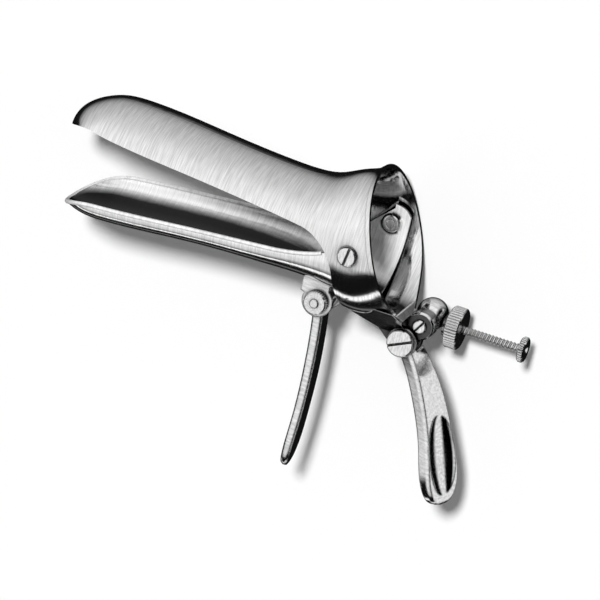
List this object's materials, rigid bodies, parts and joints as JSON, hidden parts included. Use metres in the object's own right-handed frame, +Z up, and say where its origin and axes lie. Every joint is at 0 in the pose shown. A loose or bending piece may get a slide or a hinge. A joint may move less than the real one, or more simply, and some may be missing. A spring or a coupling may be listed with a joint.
{
  "type": "bivalve speculum",
  "caption": "Stainless bivalve speculum with two spoon-shaped blades, a thumb lever, a folding handle and a side rod whose knurled nut holds the blades open.",
  "frame": {"origin": "middle of the bounding box's bottom; the instrument lies on its far side", "axes": "+X from the blade tips to the mouth, +Y from the lower blade to the upper one, +Z up from the resting side to the side that carries the thumb screw"},
  "size_m": [0.1622, 0.109, 0.0498],
  "materials": {
    "sheet": "polished",
    "forging": "polished",
    "screws": "polished",
    "knurled": "knurled",
    "rod": "threaded"
  },
  "bodies": {
    "frame": {"upper_blade": "sheet", "handle_bracket": "forging", "pivot_screw_near": "screws", "pivot_screw_far": "screws", "pivot_nut_near": "screws", "pivot_nut_far": "screws", "handle_screw": "screws", "handle_nut": "screws", "handle_washer": "screws"},
    "lower_blade": {"lower_blade": "sheet", "lever_bracket": "forging", "rod_spacer": "screws"},
    "thumb_lever": {"thumb_lever": "forging"},
    "thumb_screw": {"thumb_screw": "knurled", "retaining_nut": "screws"},
    "handle": {"handle": "forging"},
    "guide": {"guide_ball": "forging", "guide_screw": "screws"},
    "draw_rod": {"draw_rod": "rod", "rod_end_knob": "knurled"},
    "hub": {"thrust_washer": "screws"},
    "draw_nut": {"draw_nut": "knurled"}
  },
  "joints": [
    {"name": "blade_hinge", "type": "hinge", "parent": "frame", "child": "lower_blade", "pos_m": [0.02542, 0.02955, 0.0249], "axis": [0, 0, 1], "range_deg": [-12, 13]},
    {"name": "guide_swivel", "type": "hinge", "parent": "frame", "child": "guide", "pos_m": [0.04804, 0.00652, 0.0249], "axis": [0, 0, 1], "range_deg": [-5.03, 5.37]},
    {"name": "rod_pivot", "type": "hinge", "parent": "lower_blade", "child": "draw_rod", "pos_m": [0.01382, 0.00515, 0.0135], "axis": [0, 0, 1], "range_deg": [-9.63, 8.97]},
    {"name": "nut_travel", "type": "slide", "parent": "draw_rod", "child": "hub", "axis": [1, 0.0048, 0], "range_m": [-0.00562, 0.0052]},
    {"name": "nut_spin", "type": "hinge", "parent": "hub", "child": "draw_nut", "pos_m": [0.04804, 0.00532, 0.0135], "axis": [1, 0.0048, 0], "continuous": true},
    {"name": "lever_fold", "type": "hinge", "parent": "lower_blade", "child": "thumb_lever", "pos_m": [0.01382, 0.00515, 0.0249], "axis": [0, 0, 1], "range_deg": [-85, 8]},
    {"name": "thumb_screw_turn", "type": "hinge", "parent": "lower_blade", "child": "thumb_screw", "pos_m": [0.01382, 0.00515, 0.0249], "axis": [0, 0, 1], "continuous": true},
    {"name": "handle_fold", "type": "hinge", "parent": "frame", "child": "handle", "pos_m": [0.04374, 0.00002, 0.0249], "axis": [0, 0, 1], "range_deg": [-45, 25]}
  ],
  "couplings": [
    {"joint": "guide_swivel", "follows": "blade_hinge", "ratio": 0.33589},
    {"joint": "rod_pivot", "follows": "blade_hinge", "ratio": -0.66411},
    {"joint": "nut_travel", "follows": "blade_hinge", "m_per_rad": -0.024347}
  ]
}
